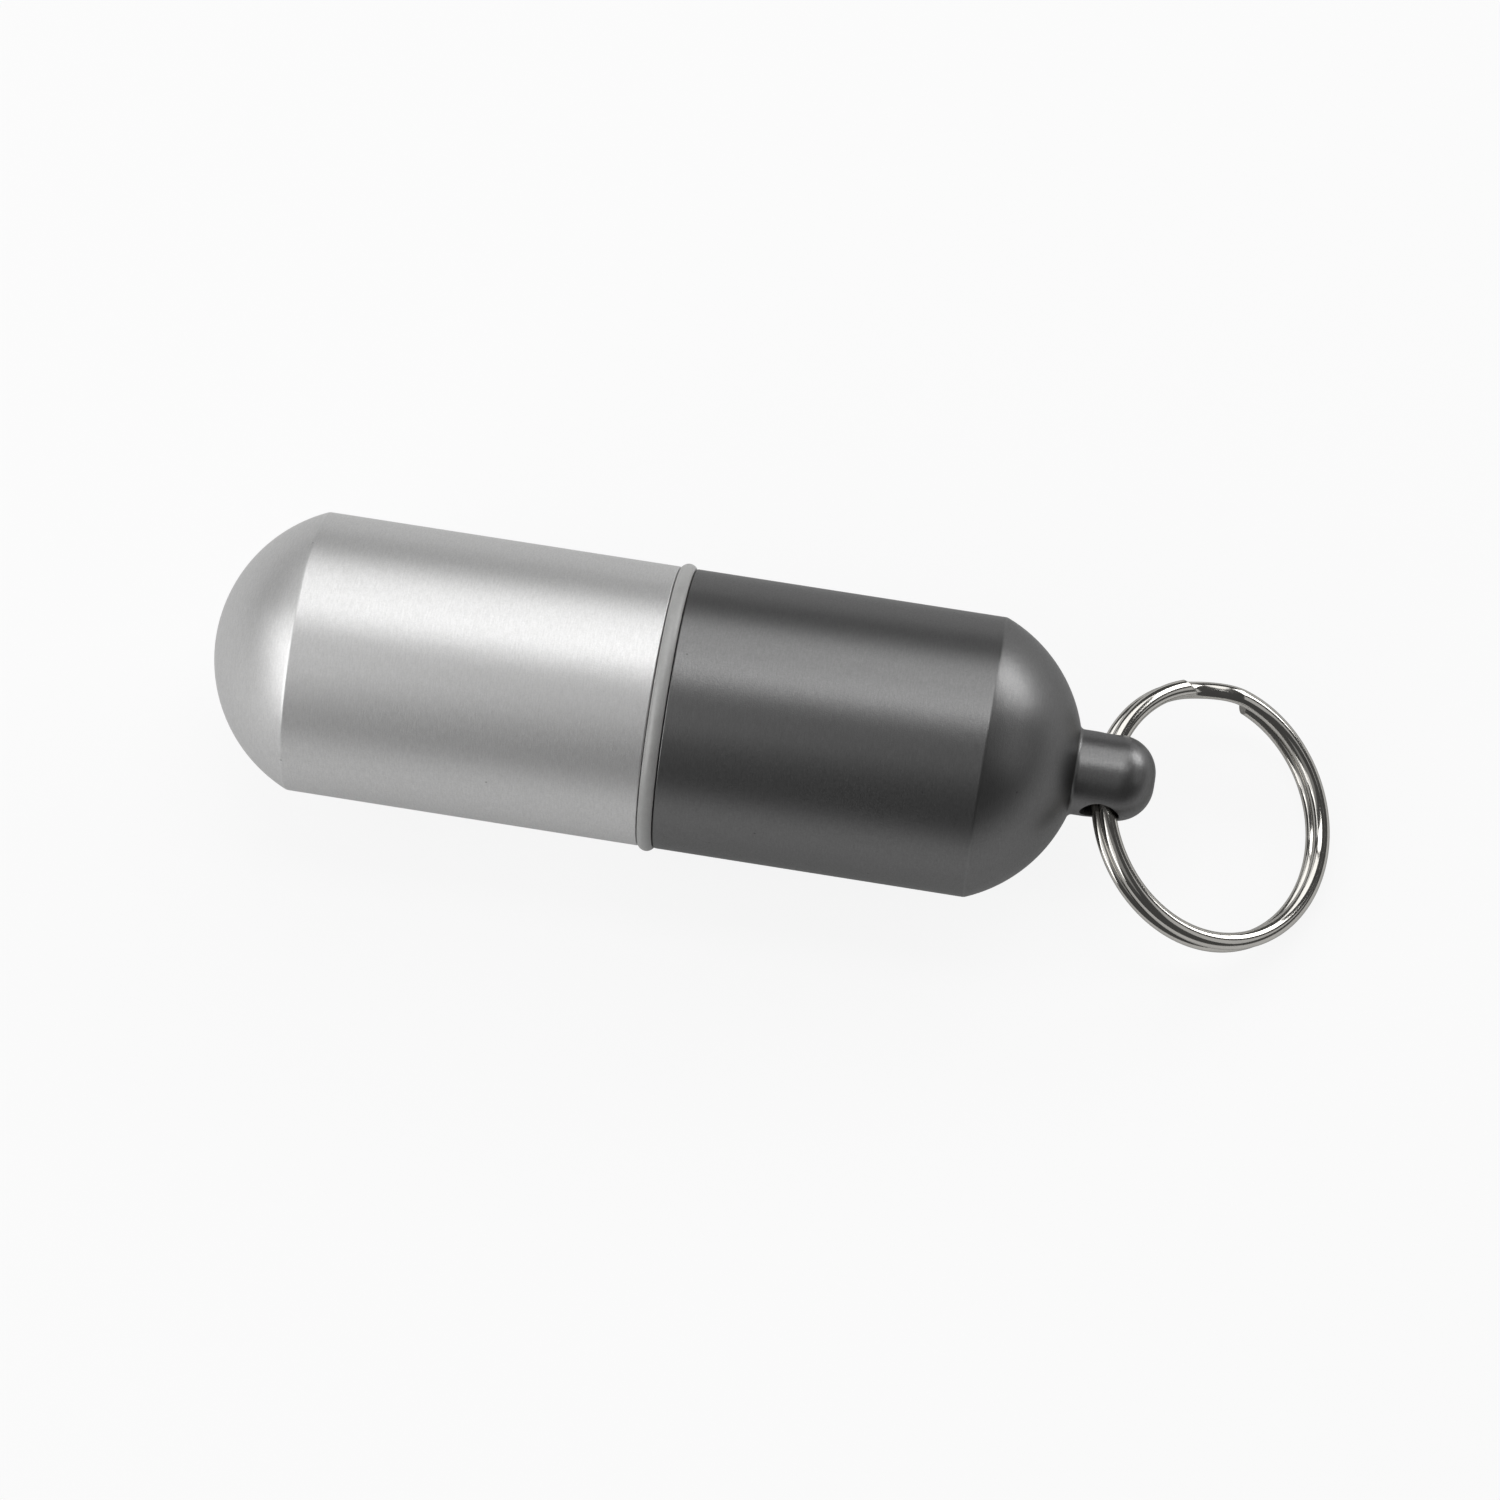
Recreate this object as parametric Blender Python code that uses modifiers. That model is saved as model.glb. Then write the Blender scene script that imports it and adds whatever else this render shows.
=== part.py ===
"""A waterproof key-ring capsule: two turned aluminium shells that screw together on a rubber seal.

The capsule lies on its side on the plane z = 0. Its axis runs along +X, towards the key ring, and
the origin is under the middle of the whole object's box. All lengths are in metres.
"""

import math

import bmesh
import bpy
from mathutils import Matrix, Vector

# Outside of the two shells
SHELL_RADIUS = 0.0125
BODY_LENGTH = 0.0315
BODY_DOME_HEIGHT = 0.0083
LID_LENGTH = 0.0276
LID_DOME_HEIGHT = 0.0085
RIM_CHAMFER = 0.0002

# Seal, an O-ring squeezed between the two rims
SEAL_CORD_RADIUS = 0.0010
SEAL_PROUD = 0.0004
SEAL_CLEARANCE = 0.00015
RIM_GAP = 0.0017

# Screw thread between the neck and the lid
LID_WALL = 0.0012
THREAD_PITCH = 0.0015
THREAD_DEPTH = 0.00065
THREAD_CLEARANCE = 0.0002
FLANK_CLEARANCE = 0.00017
FLANK_SLOPE_SHARE = 0.5
THREAD_SUNK = 0.0003

# Neck and bore of the body
NECK_LENGTH = 0.0080
NECK_WALL = 0.00115
NECK_CHAMFER = 0.0005
NECK_RELIEF = 0.0008
SEAT_SLOPE_LENGTH = 0.0004
BORE_FLOOR = 0.0035
BORE_CORNER = 0.0030
BORE_CHAMFER = 0.0003

# Inside of the lid
LID_MOUTH_CHAMFER = 0.0003
LID_MOUTH_LENGTH = 0.0009
LID_TOP_CLEARANCE = 0.0006
LID_THREAD_RELIEF = 0.0004
LID_SHOULDER = 0.00045
LID_ROOF = 0.0040
LID_CORNER = 0.0030

# Nub on the lid, with its cross-drilled hole
NUB_RADIUS = 0.0038
NUB_TIP_ROUND = 0.0030
NUB_FILLET = 0.00045
HOLE_OVER_DOME = 0.0004
HOLE_TO_TIP = 0.00255
HOLE_CLEARANCE = 0.0003

# Split key ring: one round wire wound twice round, with its two ends side by side. It is nearly as
# wide as the shells, and the inset is how far its edge stays inside theirs.
RING_INSET = 0.00017
RING_WIRE_RADIUS = 0.000575
RING_COIL_GAP = 0.00045
RING_FIRST_END_DEG = 80.0
RING_ENDS_APART_DEG = 30.0
RING_CLIMB_MARGIN_DEG = 3.0

# Fineness of the round shapes
SIDES = 48
HOLE_SIDES = 32
DOME_STEPS = 8
CORNER_STEPS = 5
FILLET_STEPS = 3
CORD_STEPS = 16
RING_POINTS_PER_TURN = 36
DRILL_OVERRUN = 0.0010
MERGE_DISTANCE = 0.00001

# Radii that follow from the walls, from the outside inwards: lid, neck, bore
LID_ROOT_RADIUS = SHELL_RADIUS - LID_WALL
NECK_CREST_RADIUS = LID_ROOT_RADIUS - THREAD_CLEARANCE
NECK_CORE_RADIUS = NECK_CREST_RADIUS - THREAD_DEPTH
LID_CREST_RADIUS = NECK_CORE_RADIUS + THREAD_CLEARANCE
LID_CAVITY_RADIUS = LID_CREST_RADIUS - LID_SHOULDER
BORE_RADIUS = NECK_CORE_RADIUS - NECK_WALL
SEAL_OUTER_RADIUS = SHELL_RADIUS + SEAL_PROUD
SEAL_CENTRE_RADIUS = SEAL_OUTER_RADIUS - SEAL_CORD_RADIUS
SEAT_RADIUS = SEAL_CENTRE_RADIUS - SEAL_CORD_RADIUS - SEAL_CLEARANCE

# The key ring's circle. Its chord through the nub bulges by the sagitta, half of it to each side
# of the hole's axis, and the hole is as wide as the two coils need there.
RING_RADIUS = SHELL_RADIUS - RING_INSET - RING_WIRE_RADIUS
RING_COIL_PITCH = 2 * RING_WIRE_RADIUS + RING_COIL_GAP
RING_SAGITTA = RING_RADIUS - math.sqrt(RING_RADIUS**2 - NUB_RADIUS**2)
RING_CENTRE_OFFSET = RING_RADIUS - RING_SAGITTA / 2
RING_REACH = RING_CENTRE_OFFSET + RING_RADIUS
HOLE_RADIUS = math.hypot(RING_SAGITTA, RING_COIL_PITCH) / 2 + RING_WIRE_RADIUS + HOLE_CLEARANCE

# Heights along the capsule's own axis, from the middle of the seal towards the key ring
BODY_RIM = -RIM_GAP / 2
BODY_CREASE = BODY_RIM - BODY_LENGTH
BODY_END = BODY_CREASE - BODY_DOME_HEIGHT
LID_RIM = RIM_GAP / 2
LID_CREASE = LID_RIM + LID_LENGTH
LID_APEX = LID_CREASE + LID_DOME_HEIGHT
HOLE_HEIGHT = LID_APEX + HOLE_OVER_DOME + HOLE_RADIUS
NUB_END = HOLE_HEIGHT + HOLE_RADIUS + HOLE_TO_TIP
NECK_END = BODY_RIM + NECK_LENGTH
SEAT_END = LID_RIM - SEAL_CLEARANCE
NECK_THREAD_START = LID_RIM + NECK_RELIEF
NECK_THREAD_END = NECK_END - NECK_CHAMFER
LID_BORE_END = NECK_END + LID_TOP_CLEARANCE
LID_THREAD_START = LID_RIM + LID_MOUTH_LENGTH
LID_THREAD_END = LID_BORE_END - LID_THREAD_RELIEF

# A flat of each turned piece faces down, so the capsule's axis is as high as a flat of the seal.
HALF_SIDE = math.pi / SIDES
AXIS_HEIGHT = SEAL_OUTER_RADIUS * math.cos(HALF_SIDE)


def ring_tilt():
    """The slope at which the lower coil's far side lies on the plane z = 0.

    A ring too small to reach the plane hangs straight down.
    """
    half_pitch = RING_COIL_PITCH / 2
    drop_share = (AXIS_HEIGHT - RING_WIRE_RADIUS) / math.hypot(RING_REACH, half_pitch)
    return math.asin(min(1, drop_share)) - math.atan2(half_pitch, RING_REACH)


RING_TILT = ring_tilt()
RING_END = (
    HOLE_HEIGHT
    + RING_REACH * math.cos(RING_TILT)
    + RING_COIL_PITCH / 2 * math.sin(RING_TILT)
    + RING_WIRE_RADIUS
)
SEAL_X = -(BODY_END + RING_END) / 2


def clear_scene():
    for obj in list(bpy.data.objects):
        bpy.data.objects.remove(obj, do_unlink=True)


def new_collection(name):
    collection = bpy.data.collections.new(name)
    bpy.context.scene.collection.children.link(collection)
    return collection


def new_material(name, colour, roughness, metallic):
    material = bpy.data.materials.new(name)
    material.use_nodes = True
    shader = material.node_tree.nodes["Principled BSDF"]
    shader.inputs["Base Color"].default_value = (*colour, 1)
    shader.inputs["Roughness"].default_value = roughness
    shader.inputs["Metallic"].default_value = metallic
    material.diffuse_color = (*colour, 1)
    return material


def new_empty(name, matrix, collection):
    empty = bpy.data.objects.new(name, None)
    empty.matrix_world = matrix
    collection.objects.link(empty)
    return empty


def add_piece(name, data, collection, parent, material):
    obj = bpy.data.objects.new(name, data)
    collection.objects.link(obj)
    obj.parent = parent
    data.materials.append(material)
    return obj


def add_helper(name, mesh, collection, parent):
    """A cutter or a tool solid, which isn't part of the object."""
    obj = bpy.data.objects.new(name, mesh)
    collection.objects.link(obj)
    obj.parent = parent
    obj.hide_render = True
    obj.display_type = "WIRE"
    return obj


def arc(centre, radius, start, end, steps):
    """Points (radius from the axis, height) of an arc about a centre given the same way."""
    points = []
    for step in range(steps + 1):
        angle = start + (end - start) * step / steps
        points.append((centre[0] + radius * math.cos(angle), centre[1] + radius * math.sin(angle)))
    return points


def dome_ball(height):
    """The radius of the ball that a dome on the shell is a slice of."""
    return (SHELL_RADIUS**2 + height**2) / (2 * height)


def profile_mesh(name, profile, closed):
    """A turned shape's profile as a wire, on the line that leaves a flat facing down."""
    across = Vector((math.cos(HALF_SIDE), math.sin(HALF_SIDE), 0))
    points = [radius * across + Vector((0, 0, height)) for radius, height in profile]
    edges = [(index, index + 1) for index in range(len(points) - 1)]
    if closed:
        edges.append((len(points) - 1, 0))
    mesh = bpy.data.meshes.new(name)
    mesh.from_pydata(points, edges, [])
    return mesh


def turn(obj):
    """Turns the object's profile about the capsule's axis."""
    screw = obj.modifiers.new("turn", "SCREW")
    screw.axis = "Z"
    screw.steps = SIDES
    screw.render_steps = SIDES
    screw.use_merge_vertices = True
    screw.merge_threshold = MERGE_DISTANCE


def add_boolean(obj, other, operation):
    modifier = obj.modifiers.new(other.name, "BOOLEAN")
    modifier.solver = "EXACT"
    modifier.operation = operation
    modifier.object = other


def even_shading(obj):
    """Shades the flat rims flat beside the round walls."""
    obj.modifiers.new("shading", "WEIGHTED_NORMAL")


def spun_ridge(name, section, first_turn, turns, collection, parent):
    """A section (radius, height) wound round the axis as a right-handed screw, starting at a height."""
    across = Vector((math.cos(HALF_SIDE), math.sin(HALF_SIDE), 0))
    ridge = bmesh.new()
    verts = [ridge.verts.new(radius * across + Vector((0, 0, first_turn + z))) for radius, z in section]
    face = ridge.faces.new(verts)
    bmesh.ops.spin(
        ridge,
        geom=[*verts, *face.edges, face],
        axis=(0, 0, 1),
        cent=(0, 0, 0),
        dvec=(0, 0, THREAD_PITCH / SIDES),
        angle=2 * math.pi * turns,
        steps=SIDES * turns,
    )
    bmesh.ops.recalc_face_normals(ridge, faces=ridge.faces)
    mesh = bpy.data.meshes.new(name)
    ridge.to_mesh(mesh)
    ridge.free()
    return add_helper(name, mesh, collection, parent)


def thread_ridge(name, root, crest, first, last, phase, collection, parent):
    """A thread's ridge from first to last, with its ends cut to a slope. A turn of it passes the height phase.

    The root lies inside the crest on the neck, and outside it in the lid.
    """
    outwards = 1 if crest > root else -1
    flank = FLANK_SLOPE_SHARE * (THREAD_DEPTH + THREAD_CLEARANCE)
    root_half = (THREAD_PITCH / 2 - FLANK_CLEARANCE + flank) / 2
    crest_half = root_half - FLANK_SLOPE_SHARE * abs(crest - root)
    sunk = root - outwards * THREAD_SUNK
    section = [(sunk, -root_half), (crest, -crest_half), (crest, crest_half), (sunk, root_half)]
    first_turn = phase - THREAD_PITCH * (math.ceil((phase - first) / THREAD_PITCH) + 1)
    turns = math.ceil((last - first_turn) / THREAD_PITCH) + 1
    ridge = spun_ridge(name, section, first_turn, turns, collection, parent)

    # A sleeve with 45 degree ends, which cross the root's surface at first and last
    inner = sunk - outwards * THREAD_SUNK
    outer = crest + outwards * THREAD_CLEARANCE
    overlap = abs(inner - root)
    inset = abs(outer - root)
    limits = [(inner, last + overlap), (outer, last - inset), (outer, first + inset), (inner, first - overlap)]
    if outwards < 0:
        limits.reverse()
    sleeve = add_helper(name + "_limits", profile_mesh(name + "_limits", limits, True), collection, parent)
    turn(sleeve)
    add_boolean(ridge, sleeve, "INTERSECT")
    return ridge


def body_profile():
    """The body from the middle of its bore's floor, up the bore, over the neck and down the outside."""
    floor = BODY_END + BORE_FLOOR
    corner_centre = (BORE_RADIUS - BORE_CORNER, floor + BORE_CORNER)
    ball = dome_ball(BODY_DOME_HEIGHT)
    crease_angle = -math.acos(SHELL_RADIUS / ball)
    return [
        (0, floor),
        *arc(corner_centre, BORE_CORNER, -math.pi / 2, 0, CORNER_STEPS),
        (BORE_RADIUS, NECK_END - BORE_CHAMFER),
        (BORE_RADIUS + BORE_CHAMFER, NECK_END),
        (NECK_CORE_RADIUS - NECK_CHAMFER / 2, NECK_END),
        (NECK_CORE_RADIUS, NECK_END - NECK_CHAMFER / 2),
        (NECK_CORE_RADIUS, SEAT_END + SEAT_SLOPE_LENGTH),
        (SEAT_RADIUS, SEAT_END),
        (SEAT_RADIUS, BODY_RIM),
        (SHELL_RADIUS - RIM_CHAMFER, BODY_RIM),
        (SHELL_RADIUS, BODY_RIM - RIM_CHAMFER),
        *arc((0, BODY_END + ball), ball, crease_angle, -math.pi / 2, DOME_STEPS)[:-1],
        (0, BODY_END),
    ]


def lid_profile():
    """The lid from the nub's tip, down the outside, round the rim and up the inside to its roof."""
    ball = dome_ball(LID_DOME_HEIGHT)
    ball_centre = LID_APEX - ball
    crease_angle = math.acos(SHELL_RADIUS / ball)
    # The fillet touches the nub's side and the dome's ball.
    fillet_radius = NUB_RADIUS + NUB_FILLET
    fillet_rise = math.sqrt((ball + NUB_FILLET) ** 2 - fillet_radius**2)
    fillet_angle = math.atan2(fillet_rise, fillet_radius)
    fillet_centre = (fillet_radius, ball_centre + fillet_rise)
    tip_centre = (NUB_RADIUS - NUB_TIP_ROUND, NUB_END - NUB_TIP_ROUND)
    roof = LID_APEX - LID_ROOF
    corner_centre = (LID_CAVITY_RADIUS - LID_CORNER, roof - LID_CORNER)
    return [
        (0, NUB_END),
        *arc(tip_centre, NUB_TIP_ROUND, math.pi / 2, 0, CORNER_STEPS),
        *arc(fillet_centre, NUB_FILLET, math.pi, math.pi + fillet_angle, FILLET_STEPS),
        *arc((0, ball_centre), ball, fillet_angle, crease_angle, DOME_STEPS)[1:],
        (SHELL_RADIUS, LID_RIM + RIM_CHAMFER),
        (SHELL_RADIUS - RIM_CHAMFER, LID_RIM),
        (LID_ROOT_RADIUS + LID_MOUTH_CHAMFER, LID_RIM),
        (LID_ROOT_RADIUS, LID_RIM + LID_MOUTH_CHAMFER),
        (LID_ROOT_RADIUS, LID_BORE_END),
        (LID_CAVITY_RADIUS, LID_BORE_END),
        *arc(corner_centre, LID_CORNER, 0, math.pi / 2, CORNER_STEPS),
        (0, roof),
    ]


def seal_profile():
    """The O-ring's section: a round cord, flattened where the two rims squeeze it."""
    half_width = RIM_GAP / 2 - SEAL_CLEARANCE
    points = []
    for step in range(CORD_STEPS):
        angle = math.pi / 2 - 2 * math.pi * (step + 0.5) / CORD_STEPS
        height = SEAL_CORD_RADIUS * math.sin(angle)
        squeezed = max(-half_width, min(half_width, height))
        points.append((SEAL_CENTRE_RADIUS + SEAL_CORD_RADIUS * math.cos(angle), squeezed))
    return points


def ring_path():
    """Points of the key ring's wire about its hinge: twice round, less the gap between its ends.

    It starts on the lower coil. As it passes the gap between the ends it climbs to the upper one.
    """
    first_end = math.radians(RING_FIRST_END_DEG)
    ends_apart = math.radians(RING_ENDS_APART_DEG)
    margin = math.radians(RING_CLIMB_MARGIN_DEG)
    climb_start = 2 * math.pi - ends_apart + margin
    climb_length = ends_apart - 2 * margin
    wound = 4 * math.pi - ends_apart
    count = round(RING_POINTS_PER_TURN * wound / (2 * math.pi))
    points = []
    for index in range(count + 1):
        turned = wound * index / count
        climbed = min(max((turned - climb_start) / climb_length, 0), 1)
        eased = climbed**2 * (3 - 2 * climbed)
        x = RING_CENTRE_OFFSET + RING_RADIUS * math.cos(first_end - turned)
        y = RING_RADIUS * math.sin(first_end - turned)
        points.append(Vector((x, y, RING_COIL_PITCH * (eased - 0.5))))
    return points


def least_gap(points, apart):
    """The least gap between stretches of the ring's wire that lie at least apart points away along it."""
    nearest = math.inf
    for index, point in enumerate(points):
        for other in points[index + apart :]:
            nearest = min(nearest, (point - other).length)
    return nearest - 2 * RING_WIRE_RADIUS


def make_body(collection, helpers, axis, material):
    """The long shell, with its domed end, its bore and the threaded neck."""
    profile = profile_mesh("capsule_body", body_profile(), False)
    body = add_piece("capsule_body", profile, collection, axis, material)
    turn(body)
    ridge = thread_ridge(
        "neck_thread",
        NECK_CORE_RADIUS,
        NECK_CREST_RADIUS,
        NECK_THREAD_START,
        NECK_THREAD_END,
        NECK_THREAD_START,
        helpers,
        axis,
    )
    add_boolean(body, ridge, "UNION")
    even_shading(body)


def make_lid(collection, helpers, axis, material):
    """The short shell, with the inside thread, its domed end and the drilled nub."""
    profile = profile_mesh("lid", lid_profile(), False)
    lid = add_piece("lid", profile, collection, axis, material)
    turn(lid)

    drill = bmesh.new()
    bmesh.ops.create_cone(
        drill,
        cap_ends=True,
        segments=HOLE_SIDES,
        radius1=HOLE_RADIUS,
        radius2=HOLE_RADIUS,
        depth=2 * (NUB_RADIUS + DRILL_OVERRUN),
        matrix=Matrix.Translation((0, 0, HOLE_HEIGHT)) @ Matrix.Rotation(math.pi / 2, 4, "X"),
    )
    mesh = bpy.data.meshes.new("nub_drill")
    drill.to_mesh(mesh)
    drill.free()
    add_boolean(lid, add_helper("nub_drill", mesh, helpers, axis), "DIFFERENCE")

    # The lid's ridge runs in the neck's groove, half a pitch from the neck's ridge.
    ridge = thread_ridge(
        "lid_thread",
        LID_ROOT_RADIUS,
        LID_CREST_RADIUS,
        LID_THREAD_START,
        LID_THREAD_END,
        NECK_THREAD_START + THREAD_PITCH / 2,
        helpers,
        axis,
    )
    add_boolean(lid, ridge, "UNION")
    even_shading(lid)


def make_seal(collection, axis, material):
    """The O-ring round the foot of the neck."""
    profile = profile_mesh("seal_ring", seal_profile(), True)
    seal = add_piece("seal_ring", profile, collection, axis, material)
    turn(seal)
    even_shading(seal)


def make_key_ring(collection, hinge, material):
    """The split ring, one tube with closed ends, through the nub's hole."""
    points = ring_path()
    curve = bpy.data.curves.new("key_ring", "CURVE")
    curve.dimensions = "3D"
    curve.twist_mode = "Z_UP"
    curve.bevel_depth = RING_WIRE_RADIUS
    curve.bevel_resolution = 2
    curve.use_fill_caps = True
    spline = curve.splines.new("POLY")
    spline.points.add(len(points) - 1)
    for target, point in zip(spline.points, points):
        target.co = (*point, 1)
    add_piece("key_ring", curve, collection, hinge, material)
    gap = least_gap(points, RING_POINTS_PER_TURN // 4)
    print(f"key ring: least gap between its coils {gap * 1000:.3f} mm")


def main():
    clear_scene()
    collection = new_collection("waterproof_capsule")
    helpers = new_collection("cutters")
    silver = new_material("satin_aluminium", (0.62, 0.62, 0.63), 0.42, 1)
    gunmetal = new_material("gunmetal_aluminium", (0.11, 0.11, 0.115), 0.42, 1)
    silicone = new_material("grey_silicone", (0.42, 0.42, 0.41), 0.6, 0)
    nickel = new_material("polished_nickel", (0.78, 0.77, 0.74), 0.14, 1)

    # The capsule is turned about its own Z, which lies along the world's X.
    lying = Matrix.Translation((SEAL_X, 0, AXIS_HEIGHT)) @ Matrix.Rotation(math.pi / 2, 4, "Y")
    axis = new_empty("capsule_axis", lying, collection)
    hanging = Matrix.Translation((SEAL_X + HOLE_HEIGHT, 0, AXIS_HEIGHT)) @ Matrix.Rotation(RING_TILT, 4, "Y")
    hinge = new_empty("key_ring_hinge", hanging, collection)

    make_body(collection, helpers, axis, silver)
    make_lid(collection, helpers, axis, gunmetal)
    make_seal(collection, axis, silicone)
    make_key_ring(collection, hinge, nickel)


main()
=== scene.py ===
import math

import bmesh
import bpy
from mathutils import Matrix, Vector


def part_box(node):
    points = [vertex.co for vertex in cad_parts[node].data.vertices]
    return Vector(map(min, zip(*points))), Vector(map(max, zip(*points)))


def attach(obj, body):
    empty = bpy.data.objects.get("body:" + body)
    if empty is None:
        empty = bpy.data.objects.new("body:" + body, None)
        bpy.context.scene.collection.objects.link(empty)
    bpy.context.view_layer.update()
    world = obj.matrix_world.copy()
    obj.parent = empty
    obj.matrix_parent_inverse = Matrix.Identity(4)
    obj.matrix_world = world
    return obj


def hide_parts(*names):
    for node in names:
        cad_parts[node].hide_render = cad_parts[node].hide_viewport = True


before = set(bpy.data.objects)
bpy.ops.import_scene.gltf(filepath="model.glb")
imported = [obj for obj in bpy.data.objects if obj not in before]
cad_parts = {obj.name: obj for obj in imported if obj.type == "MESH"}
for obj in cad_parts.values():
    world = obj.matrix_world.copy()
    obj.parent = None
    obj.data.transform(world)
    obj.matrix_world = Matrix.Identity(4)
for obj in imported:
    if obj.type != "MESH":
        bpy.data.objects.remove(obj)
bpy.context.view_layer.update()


# CAPSULE BODY
# The long shell, turned from aluminium bar: a domed end, a bore, and a neck with the screw thread
# that the lid runs on. Bead-blasted after turning, then anodised in the metal's own silver colour.

seal_low, seal_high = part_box("seal_ring")
MIDDLE = (seal_low + seal_high) / 2  # middle of the seal: heights along the capsule count from it
TURNING_STEPS = 192
SHARP_ANGLE = 50  # an edge between two faces that differ by more degrees stays sharp
WELD = 2e-7  # points that are no further apart become one
SHELL_RADIUS = 0.0125
BODY_RIM = -0.0007
RIM_ROLL = 0.00016
BODY_CREASE = -0.03235
CREASE_ROLL = 0.00012
BODY_END = -0.04065
BODY_BALL = (SHELL_RADIUS**2 + (BODY_CREASE - BODY_END) ** 2) / (2 * (BODY_CREASE - BODY_END))
BORE_RADIUS = 0.0093
BORE_FLOOR = -0.03715
BORE_CORNER = 0.0030
BORE_MOUTH_ROLL = 0.0002
NECK_END = 0.00715
NECK_CORE = 0.01045
NECK_LIP_ROLL = 0.0003
NECK_CREST = 0.0111
NECK_THREAD_FIRST = 0.00165
NECK_THREAD_LAST = 0.00665
SEAT_RADIUS = 0.01075
SEAT_END = 0.0007
SEAT_SLOPE = 0.0004
SEAT_LIP_ROLL = 0.0001
THREAD_PITCH = 0.0015
THREAD_ROWS = 20
RIDGE_ROOT_HALF = 0.00050
RIDGE_FLANK = 0.5  # how far a flank comes in, as a share of its height
RIDGE_EASING = 0.25  # how much the flank's two ends are eased: 0 leaves it straight


def place(radius, height):
    """A point of a turned outline, at a radius from the axis and a height along it."""
    return Vector((MIDDLE.x + height, 0, MIDDLE.z + radius))


def run_to(mesh, point, radius, height):
    """Draws the outline straight on and returns its new end."""
    end = bmesh.ops.extrude_vert_indiv(mesh, verts=[point])["verts"][0]
    end.co = place(radius, height)
    return end


def run_round(mesh, point, radius, height, degrees, steps):
    """Draws the outline on along an arc about a centre and returns its new end."""
    centre = place(radius, height)
    angle = math.radians(degrees)
    made = bmesh.ops.spin(mesh, geom=[point], cent=centre, axis=(0, 1, 0), angle=angle, steps=steps)
    return made["geom_last"][0]


def soften(mesh, points, width, segments):
    """Rounds corners of the outline."""
    bmesh.ops.bevel(
        mesh, geom=points, offset=width, segments=segments, profile=0.5, affect="VERTICES", material=-1
    )


def turn_outline(mesh):
    """Turns the outline round the capsule's axis."""
    bmesh.ops.spin(
        mesh,
        geom=[*mesh.verts, *mesh.edges],
        cent=MIDDLE,
        axis=(1, 0, 0),
        angle=2 * math.pi,
        steps=TURNING_STEPS,
        use_merge=True,
    )
    bmesh.ops.remove_doubles(mesh, verts=mesh.verts, dist=WELD)


def wind_thread(mesh, root, crest, first, last, phase):
    """A wall with a right-handed thread from first to last. Below the axis a ridge's middle is at phase."""
    rows = math.ceil((last - first + THREAD_PITCH) / THREAD_PITCH * THREAD_ROWS)
    wall = bmesh.new()
    point = wall.verts.new(place(root, first - THREAD_PITCH))
    run_to(wall, point, root, first - THREAD_PITCH + rows * THREAD_PITCH / THREAD_ROWS)
    bmesh.ops.subdivide_edges(wall, edges=wall.edges, cuts=rows - 1)
    bmesh.ops.spin(
        wall,
        geom=[*wall.verts, *wall.edges],
        cent=MIDDLE,
        axis=(1, 0, 0),
        angle=2 * math.pi,
        steps=TURNING_STEPS,
        dvec=(THREAD_PITCH / TURNING_STEPS, 0, 0),
    )
    depth = abs(crest - root)
    outwards = 1 if crest > root else -1
    for vert in wall.verts:
        height = vert.co.x - MIDDLE.x
        across = Vector((0, vert.co.y, vert.co.z - MIDDLE.z)).normalized()
        turned = math.atan2(-across.y, across.z) / (2 * math.pi) - 0.5
        from_ridge = abs(((height - phase) / THREAD_PITCH - turned + 0.5) % 1 - 0.5) * THREAD_PITCH
        rise = (RIDGE_ROOT_HALF - from_ridge) / RIDGE_FLANK
        rise = max(0, min(depth, rise, height - first, last - height))
        share = rise / depth
        share = share * share * (3 - 2 * share) * RIDGE_EASING + share * (1 - RIDGE_EASING)
        vert.co = place(0, max(first, min(last, height))) + across * (root + outwards * depth * share)
    bmesh.ops.remove_doubles(wall, verts=wall.verts, dist=WELD)
    wound = bpy.data.meshes.new("wound_thread")
    wall.to_mesh(wound)
    wall.free()
    mesh.from_mesh(wound)
    bpy.data.meshes.remove(wound)
    bmesh.ops.remove_doubles(mesh, verts=mesh.verts, dist=WELD)


# The outline is drawn from the bore's floor out to the neck, and from the thread's foot to the domed end.
body = bmesh.new()
point = body.verts.new(place(0, BORE_FLOOR))
point = run_to(body, point, BORE_RADIUS - BORE_CORNER, BORE_FLOOR)
point = run_round(body, point, BORE_RADIUS - BORE_CORNER, BORE_FLOOR + BORE_CORNER, 90, steps=12)
bore_mouth = run_to(body, point, BORE_RADIUS, NECK_END)
neck_lip = run_to(body, bore_mouth, NECK_CORE, NECK_END)
run_to(body, neck_lip, NECK_CORE, NECK_THREAD_LAST)
soften(body, [bore_mouth], BORE_MOUTH_ROLL, segments=4)
soften(body, [neck_lip], NECK_LIP_ROLL, segments=5)
point = body.verts.new(place(NECK_CORE, NECK_THREAD_FIRST))
point = run_to(body, point, NECK_CORE, SEAT_END + SEAT_SLOPE)
seat_lip = run_to(body, point, SEAT_RADIUS, SEAT_END)
point = run_to(body, seat_lip, SEAT_RADIUS, BODY_RIM)
rim_edge = run_to(body, point, SHELL_RADIUS, BODY_RIM)
crease = run_to(body, rim_edge, SHELL_RADIUS, BODY_CREASE)
crease_angle = math.degrees(math.acos(SHELL_RADIUS / BODY_BALL))
point = run_round(body, crease, 0, BODY_END + BODY_BALL, -(90 - crease_angle), steps=48)
point.co = place(0, BODY_END)
soften(body, [seat_lip], SEAT_LIP_ROLL, segments=3)
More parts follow.
